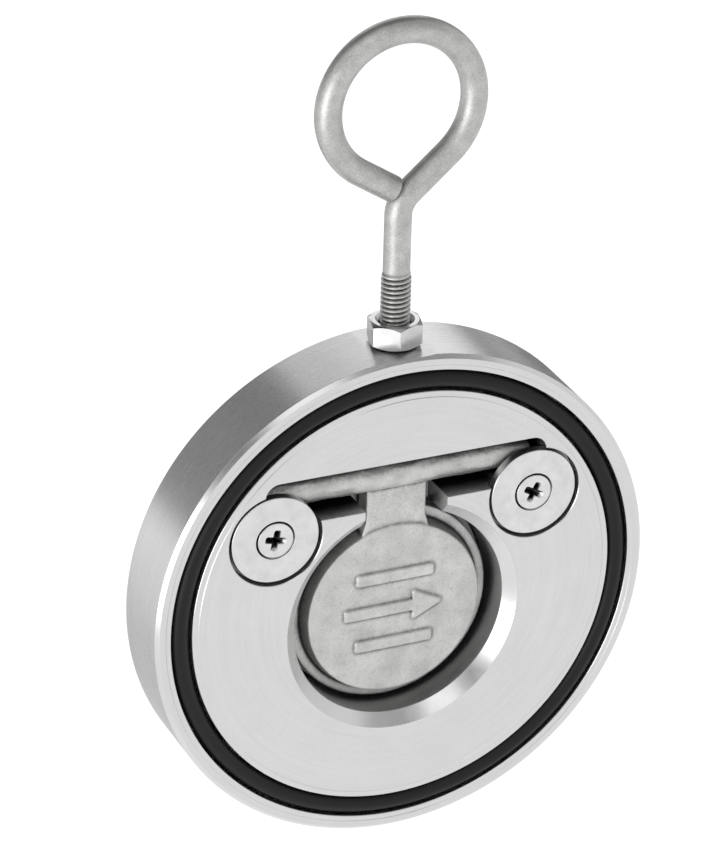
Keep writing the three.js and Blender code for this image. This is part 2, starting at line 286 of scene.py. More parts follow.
def smooth_shading(obj, angle_degrees=28):
    """Smooth faces with sharp edges where the surface turns by more than the angle."""
    limit = math.radians(angle_degrees)
    work = bmesh.new()
    work.from_mesh(obj.data)
    bmesh.ops.remove_doubles(work, verts=work.verts, dist=WELD_M)
    bmesh.ops.dissolve_degenerate(work, edges=work.edges, dist=WELD_M)
    for face in work.faces:
        face.smooth = True
    for edge in work.edges:
        edge.smooth = len(edge.link_faces) == 2 and edge.calc_face_angle() < limit
    work.to_mesh(obj.data)
    work.free()
    weighted = obj.modifiers.new("weighted normals", "WEIGHTED_NORMAL")
    weighted.keep_sharp = True


def add_dirt(obj, rounds, gain, extra=None):
    """Stores how far each point lies in a hollow, from 0 to 1, as an attribute that the shaders paint as shade.
    extra(point in millimetres) gives more painted shade by place."""
    mesh = obj.data
    count = len(mesh.vertices)
    places = np.empty(count * 3)
    mesh.vertices.foreach_get("co", places)
    places = places.reshape(-1, 3) / MM
    normals = np.empty(count * 3)
    mesh.vertices.foreach_get("normal", normals)
    normals = normals.reshape(-1, 3)
    ends = np.empty(len(mesh.edges) * 2, dtype=np.int64)
    mesh.edges.foreach_get("vertices", ends)
    first, second = ends.reshape(-1, 2).T
    shares = np.bincount(first, minlength=count) + np.bincount(second, minlength=count)
    smooth = places.copy()
    for _ in range(rounds):
        total = np.empty_like(smooth)
        for axis in range(3):
            column = smooth[:, axis]
            total[:, axis] = np.bincount(first, weights=column[second], minlength=count)
            total[:, axis] += np.bincount(second, weights=column[first], minlength=count)
        smooth = total / shares[:, None]
    # painted shade: the deeper a point lies in a hollow, the darker the shaders paint it
    hollow = np.einsum("ij,ij->i", smooth - places, normals) * gain
    if extra:
        hollow += extra(places)
    layer = mesh.attributes.new("dirt", "FLOAT", "POINT")
    layer.data.foreach_set("value", np.clip(hollow, 0, 1))


def finish_piece(obj, body, slot, replaced, *materials):
    """Gives a piece its materials and ties it to the frame."""
    obj.data.materials.clear()
    for material in materials:
        obj.data.materials.append(material)
    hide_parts(replaced)
    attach(obj, body)


# ------------------------------------------------------------------ material nodes


class Shader:
    """A Principled material, wired in the row frame's metres."""

    def __init__(self, name, **settings):
        self.material = bpy.data.materials.new(name)
        self.material.use_nodes = True
        self.tree = self.material.node_tree
        self.surface = self.tree.nodes["Principled BSDF"]
        for socket, value in settings.items():
            self.surface.inputs[socket.replace("_", " ")].default_value = value
        self.place = self.node("ShaderNodeTexCoord").outputs["Object"]

    def node(self, kind, inputs=None, **settings):
        node = self.tree.nodes.new(kind)
        for name, value in settings.items():
            setattr(node, name, value)
        for key, value in (inputs or {}).items():
            if isinstance(value, bpy.types.NodeSocket):
                self.tree.links.new(value, node.inputs[key])
            else:
                node.inputs[key].default_value = value
        return node

    def math(self, operation, first, second=0.0):
        node = self.node("ShaderNodeMath", {0: first, 1: second}, operation=operation)
        return node.outputs[0]

    def noise(self, size_mm, detail=3.0, rough=0.55, place=None):
        """Noise from 0 to 1 with features of about that size."""
        inputs = {"Vector": place or self.place, "Scale": 1 / (size_mm * MM), "Detail": detail, "Roughness": rough}
        return self.node("ShaderNodeTexNoise", inputs).outputs["Fac"]

    def spread(self, value, low, high, from_low=0.3, from_high=0.7):
        """Maps a noise value onto a range."""
        inputs = {"Value": value, "From Min": from_low, "From Max": from_high, "To Min": low, "To Max": high}
        return self.node("ShaderNodeMapRange", inputs).outputs[0]

    def colour(self, factor, dark, light):
        node = self.node("ShaderNodeMix", {"Factor": factor}, data_type="RGBA")
        node.inputs["A"].default_value = (*dark, 1)
        node.inputs["B"].default_value = (*light, 1)
        return node.outputs["Result"]

    def bump(self, height, distance_mm, below=None):
        inputs = {"Height": height, "Strength": 1.0, "Distance": distance_mm * MM}
        node = self.node("ShaderNodeBump", inputs)
        if below is not None:
            self.tree.links.new(below, node.inputs["Normal"])
        return node.outputs["Normal"]

    def depth(self, start_mm, end_mm):
        """From 0 at the first depth below the downstream face to 1 at the second."""
        along = self.node("ShaderNodeSeparateXYZ", {0: self.place}).outputs["Y"]
        return self.spread(along, 0, 1, (FRONT + start_mm) * MM, (FRONT + end_mm) * MM)

    def darken(self, colour, mask, dark):
        """Takes a colour down to a dark one where the mask is 1."""
        node = self.node("ShaderNodeMix", {"Factor": mask}, data_type="RGBA")
        self.tree.links.new(colour, node.inputs["A"])
        node.inputs["B"].default_value = (*dark, 1)
        return node.outputs["Result"]

    def attribute(self, name):
        return self.node("ShaderNodeAttribute", attribute_name=name).outputs["Fac"]

    def link(self, value, socket):
        self.tree.links.new(value, self.surface.inputs[socket])

    def turning_place(self, centre_z_mm=0.0):
        """Coordinates that run across the marks of a lathe tool, and only slowly along them."""
        shift = (0, 0, -centre_z_mm * MM)
        centred = self.node("ShaderNodeVectorMath", {0: self.place, 1: shift}, operation="ADD").outputs[0]
        parts = self.node("ShaderNodeSeparateXYZ", {0: centred})
        flat = self.node("ShaderNodeCombineXYZ", {"X": parts.outputs["X"], "Z": parts.outputs["Z"]}).outputs[0]
        radius = self.node("ShaderNodeVectorMath", {0: flat}, operation="LENGTH").outputs["Value"]
        across = self.math("ADD", radius, parts.outputs["Y"])
        heading = self.node("ShaderNodeVectorMath", {0: flat}, operation="NORMALIZE").outputs[0]
        slow = self.node("ShaderNodeVectorMath", {0: heading, "Scale": 1.2 * MM}, operation="SCALE").outputs[0]
        slow_parts = self.node("ShaderNodeSeparateXYZ", {0: slow})
        return self.node(
            "ShaderNodeCombineXYZ",
            {"X": slow_parts.outputs["X"], "Y": across, "Z": slow_parts.outputs["Z"]},
        ).outputs[0]

    def radial_tangent(self, axis):
        tangent = self.node("ShaderNodeTangent", direction_type="RADIAL", axis=axis)
        self.link(tangent.outputs[0], "Tangent")


def turned_steel(name="turned steel", centre_z=0.0, roughness=0.27, light=0.61, shade=None):
    """Stainless steel off the lathe: fine rings, and a few coarser ones. It darkens, as painted shade, between the two
    depths in shade.
    """
    shader = Shader(name, Metallic=1.0, Anisotropic=0.6, Anisotropic_Rotation=0.25)
    rings = shader.turning_place(centre_z)
    fine = shader.noise(0.1, detail=4, rough=0.7, place=rings)
    coarse = shader.noise(0.9, detail=3, place=rings)
    mottle = shader.noise(7.0, detail=5)
    tone = shader.math("ADD", shader.math("MULTIPLY", coarse, 0.6), shader.math("MULTIPLY", mottle, 0.4))
    dark = light * 0.92
    colour = shader.colour(shader.spread(tone, 0, 1), (dark, dark, dark), (light, light, light * 0.995))
    if shade:
        # painted shade: darker between the two depths below the downstream face
        colour = shader.darken(colour, shader.depth(*shade), (0.26, 0.26, 0.26))
    shader.link(colour, "Base Color")
    shader.link(shader.spread(fine, roughness - 0.04, roughness + 0.06), "Roughness")
    shader.link(shader.bump(coarse, 0.003, shader.bump(fine, 0.0012)), "Normal")
    shader.radial_tangent("Y")
    return shader.material


def milled_steel():
    """The slot's and the pockets' walls: duller, with short tool marks, and painted shade that darkens them towards the
    floor.
    """
    shader = Shader("milled steel", Metallic=1.0)
    marks = shader.noise(0.35, detail=4, rough=0.7)
    colour = shader.colour(shader.spread(marks, 0, 1), (0.36, 0.36, 0.36), (0.55, 0.55, 0.545))
    # painted shade: nearly black from 0.4 to 5 mm below the downstream face
    shader.link(shader.darken(colour, shader.depth(0.4, 5.0), (0.04, 0.04, 0.04)), "Base Color")
    shader.link(shader.spread(marks, 0.34, 0.5), "Roughness")
    shader.link(shader.bump(marks, 0.01), "Normal")
    return shader.material


def cast_steel():
    """The disc's skin: blasted, matt and slightly uneven, with painted shade in its corners and round its foot."""
    shader = Shader("cast steel", Metallic=1.0)
    grain = shader.noise(0.3, detail=6, rough=0.75)
    lumps = shader.noise(1.4, detail=3)
    stain = shader.noise(5.0, detail=5)
    specks = shader.noise(0.45, detail=2)
    tone = shader.math("ADD", shader.math("MULTIPLY", grain, 0.6), shader.math("MULTIPLY", stain, 0.4))
    colour = shader.colour(shader.spread(tone, 0, 1, 0.32, 0.68), (0.36, 0.36, 0.355), (0.70, 0.70, 0.69))
    colour = shader.darken(colour, shader.spread(specks, 0, 0.45, 0.66, 0.74), (0.12, 0.12, 0.12))
    # painted shade: the attribute darkens hollows, the boss's wall and the bar's sides to nearly black
    colour = shader.darken(colour, shader.math("MULTIPLY", shader.attribute("dirt"), 0.9), (0.03, 0.03, 0.03))
    shader.link(colour, "Base Color")
    shader.link(shader.spread(grain, 0.44, 0.62), "Roughness")
    shader.link(shader.bump(grain, 0.05, shader.bump(lumps, 0.06)), "Normal")
    return shader.material


def satin_steel(name, roughness, light, shade=None):
    """Punched or machined small parts: nearly smooth, with faint scratches and stains."""
    shader = Shader(name, Metallic=1.0)
    grain = shader.noise(0.12, detail=4, rough=0.7)
    patches = shader.noise(2.5, detail=5, rough=0.65)
    dark = light * 0.84
    colour = shader.colour(shader.spread(patches, 0, 1), (dark, dark, dark), (light, light, light * 0.995))
    if shade:
        # painted shade: nearly black from the first depth down to the second below the downstream face
        colour = shader.darken(colour, shader.depth(*shade), (0.02, 0.02, 0.02))
    shader.link(colour, "Base Color")
    shader.link(shader.spread(grain, roughness - 0.05, roughness + 0.07), "Roughness")
    shader.link(shader.bump(patches, 0.006, shader.bump(grain, 0.002)), "Normal")
    return shader.material


def pickled_steel():
    """The bent rod: matt from the acid bath, with a fine grain and painted shade in its thread."""
    shader = Shader("pickled steel", Metallic=1.0)
    grain = shader.noise(0.3, detail=6, rough=0.8)
    patches = shader.noise(3.0, detail=4)
    tone = shader.math("ADD", shader.math("MULTIPLY", grain, 0.75), shader.math("MULTIPLY", patches, 0.25))
    colour = shader.colour(shader.spread(tone, 0, 1, 0.33, 0.66), (0.26, 0.26, 0.255), (0.61, 0.61, 0.6))
    # painted shade: nearly black in the roots of the thread
    colour = shader.darken(colour, shader.math("MULTIPLY", shader.attribute("dirt"), 0.92), (0.03, 0.03, 0.03))
    shader.link(colour, "Base Color")
    shader.link(shader.spread(grain, 0.38, 0.52), "Roughness")
    shader.link(shader.bump(grain, 0.03, shader.bump(patches, 0.02)), "Normal")
    return shader.material


def seal_rubber():
    """Black nitrile rubber, with a faint mould grain."""
    shader = Shader("seal rubber", Specular_IOR_Level=0.22)
    grain = shader.noise(0.15, detail=4, rough=0.6)
    shader.link(shader.colour(shader.spread(grain, 0, 1), (0.003, 0.003, 0.003), (0.008, 0.008, 0.008)), "Base Color")
    shader.link(shader.spread(grain, 0.4, 0.52), "Roughness")
    shader.link(shader.bump(grain, 0.008), "Normal")
    return shader.material


# ------------------------------------------------------------------ valve body

STEP_INNER_R = SEAL_R - 3.6
STEP_OUTER_R = SEAL_R + 3.45
STEP_DEPTH = 0.12
GROOVE_HALF = SEAL_WIRE_R + GAP
GROOVE_DEPTH = (SEAL_HIGH.y - SEAL_LOW.y) - (FRONT - SEAL_LOW.y) + GAP
RIM_CHAMFER = 0.8


def face_corners():
    """The outline of one face from the axis out to the rim, as (radius, depth, corner radius)."""
    inner = SEAL_R - GROOVE_HALF
    outer = SEAL_R + GROOVE_HALF
    slope = 0.15
    step_edge, lip, root, rim_edge = 0.06, 0.3, 0.4, 0.15
    return [
        (0, 0, 0),
        (STEP_INNER_R, 0, step_edge),
        (STEP_INNER_R + slope, STEP_DEPTH, step_edge),
        (inner, STEP_DEPTH, lip),
        (inner, GROOVE_DEPTH, root),
        (outer, GROOVE_DEPTH, root),
        (outer, STEP_DEPTH, lip),
        (STEP_OUTER_R - slope, STEP_DEPTH, step_edge),
        (STEP_OUTER_R, 0, step_edge),
        (RIM_R - RIM_CHAMFER, 0, rim_edge),
        (RIM_R, RIM_CHAMFER, rim_edge),
    ]


def body_blank():
    front = [(radius, FRONT + depth, corner) for radius, depth, corner in face_corners()]
    back = [(radius, BACK - depth, corner) for radius, depth, corner in face_corners()]
    return lathe("valve_body_fine", rounded(front + back[::-1]), ROUND_SEGMENTS)


def bore_tool():
    """The bore with its chamfered mouth, down to the disc's seat, and the port behind it."""
    chamfer_r = BORE_R + BORE_CHAMFER
    corners = [
        (0, FRONT - CLEAR, 0),
        (chamfer_r + 0.35, FRONT - CLEAR, 0),
        (chamfer_r + 0.1, FRONT, 0.2),
        (BORE_R, FRONT + BORE_CHAMFER, 0.25),
        (BORE_R, FRONT + SEAT_DEPTH, 0.4),
        (PORT_R, FRONT + SEAT_DEPTH, 0.2),
        (PORT_R, BACK - PORT_CHAMFER, 0.15),
        (PORT_R + PORT_CHAMFER, BACK, 0.1),
        (PORT_R + PORT_CHAMFER + 0.3, BACK + CLEAR, 0),
        (0, BACK + CLEAR, 0),
    ]
    return lathe("bore_tool", rounded(corners), ROUND_SEGMENTS, centre=(0, 0, BORE_Z))


def slot_tools():
    """The bar's long slot, its deeper middle between the ledges, and the channel for the neck."""

    def whole(grow):
        return rounded_rectangle(
            -SLOT_HALF - grow, SLOT_HALF + grow, LEDGE_HIGH - grow, SLOT_HIGH + grow, SLOT_CORNER + grow
        )

    def middle(grow):
        return rounded_rectangle(-LEDGE_X - grow, LEDGE_X + grow, SLOT_LOW - grow, HINGE_Z + grow, 0.6 + grow)

    def channel(grow):
        return rounded_rectangle(-CHANNEL_HALF - grow, CHANNEL_HALF + grow, -grow, HINGE_Z + grow, 0.6 + grow)

    return [cutter("slot_tool", outline, SLOT_DEPTH) for outline in (whole, middle, channel)]


def pocket_tool(washer_node, screw_node):
    """The washer's round pocket and the screw's hole below it."""
    low, high = box_mm(washer_node)
    centre = (low + high) / 2
    pocket_floor = high.y + GAP
    hole_floor = box_mm(screw_node)[1].y + GAP
    corners = [
        (0, FRONT - CLEAR, 0),
        (POCKET_R + 0.2, FRONT - CLEAR, 0),
        (POCKET_R + POCKET_EDGE, FRONT, 0),
        (POCKET_R, FRONT + POCKET_EDGE, 0),
        (POCKET_R, pocket_floor, 0.2),
        (SCREW_HOLE_R, pocket_floor, 0.1),
        (SCREW_HOLE_R, hole_floor, 0),
        (0, hole_floor, 0),
    ]
    return lathe("pocket_tool", rounded(corners), SMALL_SEGMENTS, centre=(centre.x, 0, centre.z))


def eye_hole_tool():
    """The eye bolt's hole: a drill point below, a countersink at the mouth."""
    hole_r = THREAD_R + GAP
    above = 0.5
    floor_z = EYE_LOW.z - 0.4
    drill_point = 1.7
    corners = [
        (0, floor_z - drill_point, 0),
        (hole_r, floor_z, 0),
        (hole_r, NUT_FLAT_Z + above - EYE_HOLE_COUNTERSINK, 0),
        (hole_r + EYE_HOLE_COUNTERSINK, NUT_FLAT_Z + above, 0),
        (0, NUT_FLAT_Z + above, 0),
    ]
    return lathe("eye_hole_tool", rounded(corners), SMALL_SEGMENTS, axis="Z")


def nut_flat_tool():
    """The flat milled across the rim, under the lock nut."""
    half = NUT_FLAT_HALF
    top = RIM_R + CLEAR
    loops = [
        [(-half, y, NUT_FLAT_Z), (half, y, NUT_FLAT_Z), (half, y, top), (-half, y, top)]
        for y in (FRONT - CLEAR, BACK + CLEAR)
    ]
    return loft("nut_flat_tool", loops)


def sort_body_faces(obj):
    """Faces in the bore take material 1, those in the slot, channel and pockets take material 2, and all others 0."""
    margin = 0.3
    below_slot = SLOT_LOW - 2
    for face in obj.data.polygons:
        centre = face.center / MM
        depth = centre.y - FRONT
        from_bore = math.hypot(centre.x, centre.z - BORE_Z)
        from_middle = math.hypot(centre.x, centre.z)
        if 0.1 < depth < THICKNESS - 0.05 and from_middle < STEP_INNER_R - 1:
            in_bore = PORT_R - margin < from_bore < BORE_R + BORE_CHAMFER + margin
            face.material_index = 1 if in_bore and centre.z < below_slot else 2


def valve_body():
    obj = body_blank()
    tools = [bore_tool(), *slot_tools(), eye_hole_tool(), nut_flat_tool()]
    for side in ("left", "right"):
        tools.append(pocket_tool(f"{side}_retaining_washer", f"{side}_washer_screw"))
    combine(obj, tools)
    smooth_shading(obj)
    # the bore's walls get painted shade from 2.6 to 8 mm below the downstream face
    bored_steel = turned_steel("bored steel", BORE_Z, roughness=0.3, light=0.66, shade=(2.6, 8))
    materials = [turned_steel(), bored_steel, milled_steel()]
    finish_piece(obj, "body", "turned_body_steel", "valve_body", *materials)
    sort_body_faces(obj)


# ------------------------------------------------------------------ O-rings

WIRE_SIDES = 28


def o_ring(node, body, radius, wire_r, material):
    low, high = box_mm(node)
    centre = (low + high) / 2
    profile = circle(wire_r, WIRE_SIDES, radius, centre.y)
    obj = lathe(f"{node}_fine", profile, ROUND_SEGMENTS, centre=(centre.x, 0, centre.z), closed=True)
    smooth_shading(obj, angle_degrees=60)
    finish_piece(obj, body, "seal_rubber", node, material)


# ------------------------------------------------------------------ washers and screws

WASHER_EDGE = 0.3
COUNTERSINK_LAND = 0.3
COUNTERSINK_GAP = 0.4
WASHER_HOLE_GAP = 0.45
HEAD_EDGE = 0.12
HEAD_LAND = 0.3
SCREW_R = 2.0
SCREW_PITCH = 0.7
SCREW_THREAD_DEPTH = 0.4
# The driver's cross at each depth below the head's top: the length and the width of its arms.
CROSS_LEVELS = ((-0.3, 4.9, 1.95), (0.0, 4.55, 1.5), (0.3, 4.15, 1.2), (1.0, 3.2, 0.95), (1.9, 1.4, 0.7))
CROSS_TURN = {"left": -12, "right": -28}


def washer(node, screw_node, material):
    """A flat washer with rounded edges and a countersunk hole for its screw's head."""
    low, high = box_mm(node)
    centre = (low + high) / 2
    radius = (high.x - low.x) / 2
    head_low, head_high = box_mm(screw_node)
    sink_r = (head_high.x - head_low.x) / 2 + COUNTERSINK_GAP
    hole_r = SCREW_R + WASHER_HOLE_GAP
    land = low.y + COUNTERSINK_LAND
    cone = sink_r - hole_r
    corners = [
        (sink_r, low.y, 0.1),
        (radius, low.y, WASHER_EDGE),
        (radius, high.y, WASHER_EDGE),
        (hole_r, high.y, 0.05),
        (hole_r, land + cone, 0),
        (sink_r, land, 0),
    ]
    profile = rounded(corners, closed=True)
    obj = lathe(f"{node}_fine", profile, SMALL_SEGMENTS * 2, centre=(centre.x, 0, centre.z), closed=True)
    smooth_shading(obj)
    finish_piece(obj, "body", "washer_steel", node, material)


def cross_tool(centre, top, turn_degrees):
    """A cross-recess driver's tip: two tapered blades."""
    blades = []
    for arm in (0, 1):
        turn = Matrix.Rotation(math.radians(turn_degrees) + arm * math.pi / 2, 2)
        loops = []
        for level, span, width in CROSS_LEVELS:
            outline = rounded_rectangle(-span / 2, span / 2, -width / 2, width / 2, width * 0.3, steps=3)
            turned = [turn @ Vector(point) for point in outline]
            loops.append([(centre.x + x, top + level, centre.z + z) for x, z in turned])
        blades.append(loft("cross_tool", loops))
    return combine(blades[0], blades[1:], "UNION")


def screw(node, turn_degrees, material):
    """A countersunk screw: a cross in its head, and rings along its shank for the thread."""
    low, high = box_mm(node)
    centre = (low + high) / 2
    head_r = (high.x - low.x) / 2
    root_r = SCREW_R - SCREW_THREAD_DEPTH
    neck_y = low.y + HEAD_LAND + head_r - SCREW_R
    corners = [
        (0, low.y, 0),
        (head_r, low.y, HEAD_EDGE),
        (head_r, low.y + HEAD_LAND, 0),
        (SCREW_R, neck_y, 0),
    ]
    plain = 0.5
    for turn in range(int((high.y - neck_y - 2 * plain) / SCREW_PITCH)):
        start = neck_y + plain + turn * SCREW_PITCH
        corners += [(SCREW_R, start, 0), (root_r, start + SCREW_PITCH / 2, 0)]
    corners += [(root_r, high.y, 0), (0, high.y, 0)]
    obj = lathe(f"{node}_fine", rounded(corners), SMALL_SEGMENTS, centre=(centre.x, 0, centre.z))
    combine(obj, [cross_tool(centre, low.y, turn_degrees)])
    smooth_shading(obj)
    finish_piece(obj, "body", "screw_steel", node, material)


# ------------------------------------------------------------------ disc casting

BOSS_R = 18.8
BOSS_FOOT_R = 19.6
BOSS_DEPTH = 4.6
FLANGE_R = 21.8
FLANGE_DEPTH = 8.0
DISC_BACK = 12.2
NECK_HALF = 6.55
NECK_FRONT = 5.0
NECK_BACK = 8.9
NECK_FOOT_Z = 8
BAR_R = 3.0
BAR_TIP_R = 1.2
BAR_TAPER = 9.0
BAR_SIDES = 40
BAR_STEPS = 160
CAST_VOXEL = 0.2
CAST_EDGE = 0.35


def disc_round():
    """The boss, the seating flange behind it and the groove for the disc's seal."""
    back = FRONT + DISC_BACK
    groove_half = DISC_SEAL_WIRE_R + 0.1
    groove_floor = DISC_SEAL_LOW.y - 0.1
    corners = [
        (0, FRONT + BOSS_DEPTH, 0),
        (BOSS_R, FRONT + BOSS_DEPTH, CAST_EDGE),
        (BOSS_FOOT_R, FRONT + FLANGE_DEPTH, 0.5),
        (FLANGE_R, FRONT + FLANGE_DEPTH, CAST_EDGE),
        (FLANGE_R, back, CAST_EDGE),
        (DISC_SEAL_R + groove_half, back, 0.1),
        (DISC_SEAL_R + groove_half, groove_floor, 0.2),
        (DISC_SEAL_R - groove_half, groove_floor, 0.2),
        (DISC_SEAL_R - groove_half, back, 0.1),
        (0, back, 0),
    ]
    return lathe("disc_fine", rounded(corners), ROUND_SEGMENTS, centre=(0, 0, DISC_Z))


def neck():
    """The arm between the boss and the bar, a little wider where it runs into the boss."""
    foot, flare = 1.6, 0.9
    levels = [
        (NECK_FRONT, -0.3),
        (NECK_FRONT + 0.1, -0.12),
        (NECK_FRONT + 0.35, 0),
        (NECK_BACK - 0.35, 0.15),
        (NECK_BACK, -0.15),
    ]
    low_z = DISC_Z + BOSS_R - 1.5
    high_z = DISC_Z + BOSS_R + 1.6
    loops = []
    for depth, grow in levels:
        half = NECK_HALF + grow
        outline = rounded(
            [
                (-half - foot, NECK_FOOT_Z, 0),
                (half + foot, NECK_FOOT_Z, 0),
                (half + flare, low_z, 1.0),
                (half, high_z, 2.0),
                (half, HINGE_Z, 0),
                (-half, HINGE_Z, 0),
                (-half, high_z, 2.0),
                (-half - flare, low_z, 1.0),
            ],
            closed=True,
        )
        loops.append([(x, FRONT + depth, z) for x, z in outline])
    return loft("neck", loops)


def hinge_bar():
    """The cast bar: not quite round or straight, and drawn out to thin ends."""
    half = box_mm("disc")[1].x
    most_swell = 0.05
    loops = []
    for step in range(BAR_STEPS + 1):
        x = -half + 2 * half * step / BAR_STEPS
        from_end = unit((half - abs(x)) / BAR_TAPER)
        radius = BAR_TIP_R + (BAR_R - BAR_TIP_R) * math.sin(from_end * math.pi / 2)
        if step in (0, BAR_STEPS):
            radius *= 0.7
        loop = []
        for side in range(BAR_SIDES):
            angle = 2 * math.pi * side / BAR_SIDES
            heading = Vector((0, math.cos(angle), math.sin(angle)))
            swell = 0.22 * noise.noise(Vector((x * 0.16, 2.2 * heading.y, 2.2 * heading.z)))
            point = heading * (radius + min(swell, most_swell))
            loop.append((x, FRONT + HINGE_DEPTH + point.y, HINGE_Z + point.z))
        loops.append(loop)
    return loft("hinge_bar", loops)


# The raised marks: a plain bar above and below a flow arrow.
MARK_HEIGHT = 0.5
MARK_SINK = 0.4
MARK_OFFSET = 7.6
MARK_HALF_WIDTH = 1.3


def raised_mark(outline):
    """A raised mark with drafted sides. outline(grow) gives its points."""
    levels = [
        (BOSS_DEPTH - MARK_HEIGHT, -0.22),
        (BOSS_DEPTH - MARK_HEIGHT * 0.8, -0.08),
        (BOSS_DEPTH + MARK_SINK, 0.18),
    ]
    return loft("mark", [[(x, FRONT + depth, z) for x, z in outline(grow)] for depth, grow in levels])


def mark_bar(offset):
    half = 8.5
    high = MARK_HALF_WIDTH
    middle = DISC_Z + offset

    def outline(grow):
        return rounded_rectangle(-half - grow, half + grow, middle - high - grow, middle + high + grow, 0.65 + grow)

    return raised_mark(outline)


def mark_arrow():
    half = 11.0
    shaft = MARK_HALF_WIDTH
    head = 3.5
    head_x = half - 7.0

    def outline(grow):
        corners = [
            (-half - grow, -shaft - grow, 0.4),
            (head_x - grow, -shaft - grow, 0.2),
            (head_x - grow, -head - 2 * grow, 0.4),
            (half + 2 * grow, 0, 0.5),
            (head_x - grow, head + 2 * grow, 0.4),
            (head_x - grow, shaft + grow, 0.2),
            (-half - grow, shaft + grow, 0.4),
        ]
        return [(x, DISC_Z + z) for x, z in rounded(corners, closed=True)]

    return raised_mark(outline)


def cast_skin(obj):
    """Melts the joined shapes into one casting, then roughens its skin."""
    remesh = obj.modifiers.new("cast", "REMESH")
    remesh.mode = "VOXEL"
    remesh.voxel_size = CAST_VOXEL * MM
    soften = obj.modifiers.new("soften", "SMOOTH")
    soften.factor = 0.5
    soften.iterations = 3
    bake_modifiers(obj)
    back = (FRONT + DISC_BACK) * MM
    machined = 0.6 * MM
    bar_roughness = 1.9
    moves = []
    for vertex in obj.data.vertices:
        place = vertex.co / MM
        rough = bar_roughness if place.z > SLOT_LOW else 1.0
        lumps = (noise.noise(place * 0.55) * 0.035 + noise.noise(place * 1.7) * 0.018) * rough
        keep = unit((back - vertex.co.y) / machined - 1)
        moves.append(vertex.normal * (lumps * keep * MM))
    for vertex, move in zip(obj.data.vertices, moves):
        vertex.co += move
    for face in obj.data.polygons:
        face.use_smooth = True


def disc_dirt(places):
    """Painted shade down the boss's wall, under the bar and along its upper side."""
    x, y, z = places.T
    depth = y - FRONT
    on_boss = np.hypot(x, z - DISC_Z) < BOSS_FOOT_R + 0.3
    wall = ramp(depth, BOSS_DEPTH + 0.3, BOSS_DEPTH + 2.5) * on_boss * 0.6
    on_bar = (z > SLOT_LOW - 1) & (np.hypot(depth - HINGE_DEPTH, z - HINGE_Z) < BAR_R + 1)
    high = ramp(z, HINGE_Z + 1.2, HINGE_Z + 2.8) * 0.75
    deep = ramp(depth, HINGE_DEPTH - 0.6, HINGE_DEPTH + 1.0)
    return np.where(on_bar, np.maximum(high, deep), wall)


def disc():
    obj = disc_round()
    combine(obj, [neck(), hinge_bar(), mark_bar(MARK_OFFSET), mark_arrow(), mark_bar(-MARK_OFFSET)], "UNION")
    cast_skin(obj)
    # the disc's hollows, the boss's wall and the bar's sides get painted shade
    add_dirt(obj, rounds=8, gain=9.0, extra=disc_dirt)
    finish_piece(obj, "swing_disc", "cast_disc_steel", "disc", cast_steel())


# ------------------------------------------------------------------ eye bolt and lock nut

ROD_R = 2.7
THREAD_HIGH = 69
THREAD_PITCH = 1.0
THREAD_DEPTH = 0.55
THREAD_CREST = 0.34  # share of the pitch that the flat crest takes
THREAD_FLANK = 0.56
RUN_OUT = 1.6
LEAD_IN = 0.8
TIP_SHARE = 0.8  # radius of the stem's tip, as a share of the thread's
STEM_BEND_R = 6
STEM_BEND_Z = 83.5
FIRST_LEG_TILT = math.radians(40.9)
RING_Z = 103.9
RING_R = 15.4
LAST_LEG_TILT = math.radians(32.8)
LAST_LEG_STOP = 1.5  # how far short of the stem's axis the cut end stops, along the last leg
ROD_SIDES = 48
ROD_STEP = 0.5
RING_STEP = 0.6
ROD_WAVE = 0.04
END_ROUNDING = ((0.06, 0.12), (0.3, 0.2))


def arc_points(x, z, radius, start, end, step_mm):
    count = max(2, round(abs(end - start) * radius / step_mm))
    angles = [start + (end - start) * index / count for index in range(count + 1)]
    return [Vector((x + radius * math.cos(angle), 0, z + radius * math.sin(angle))) for angle in angles]


def line_points(start, end, step_mm):
    count = max(1, round((end - start).length / step_mm))
    return [start.lerp(end, index / count) for index in range(count + 1)]


def rod_line():
    """The rod's centre line, from the stem's lower tip round the ring to the cut end."""
    quarter = math.pi / 2
    bend_turn = quarter - FIRST_LEG_TILT
    bend_low = STEM_BEND_Z - STEM_BEND_R * math.tan(bend_turn / 2)
    stem_low = Vector((0, 0, EYE_LOW.z))
    thread_top = Vector((0, 0, THREAD_HIGH + ROD_STEP))
    thread_step = THREAD_PITCH / 12
    bend = arc_points(STEM_BEND_R, bend_low, STEM_BEND_R, math.pi, math.pi - bend_turn, ROD_STEP)
    ring = arc_points(0, RING_Z, RING_R, FIRST_LEG_TILT - quarter, 3 * quarter - LAST_LEG_TILT, RING_STEP)
    last = Vector((math.cos(LAST_LEG_TILT), 0, -math.sin(LAST_LEG_TILT)))
    last_leg_z = RING_Z - RING_R / math.cos(LAST_LEG_TILT)
    end = Vector((0, 0, last_leg_z)) - last * LAST_LEG_STOP
    legs = [
        line_points(stem_low, thread_top, thread_step),
        line_points(thread_top, bend[0], ROD_STEP),
        bend,
        line_points(bend[-1], ring[0], ROD_STEP),
        ring,
        line_points(ring[-1], end, ROD_STEP),
    ]
    return [legs[0][0]] + [point for leg in legs for point in leg[1:]]


def thread_radius(z, angle):
    """Radius of the threaded stem at a height and angle."""
    phase = (z / THREAD_PITCH - angle / (2 * math.pi)) % 1.0
    ridge = abs(phase - 0.5) * 2
    groove = unit((ridge - THREAD_CREST) / THREAD_FLANK)
    fade_top = unit((THREAD_HIGH - z) / RUN_OUT)
    fade_low = unit((z - EYE_LOW.z) / LEAD_IN)
    outer = ROD_R + (THREAD_R - ROD_R) * fade_top
    return (outer - THREAD_DEPTH * fade_top * groove) * (TIP_SHARE + (1 - TIP_SHARE) * fade_low)


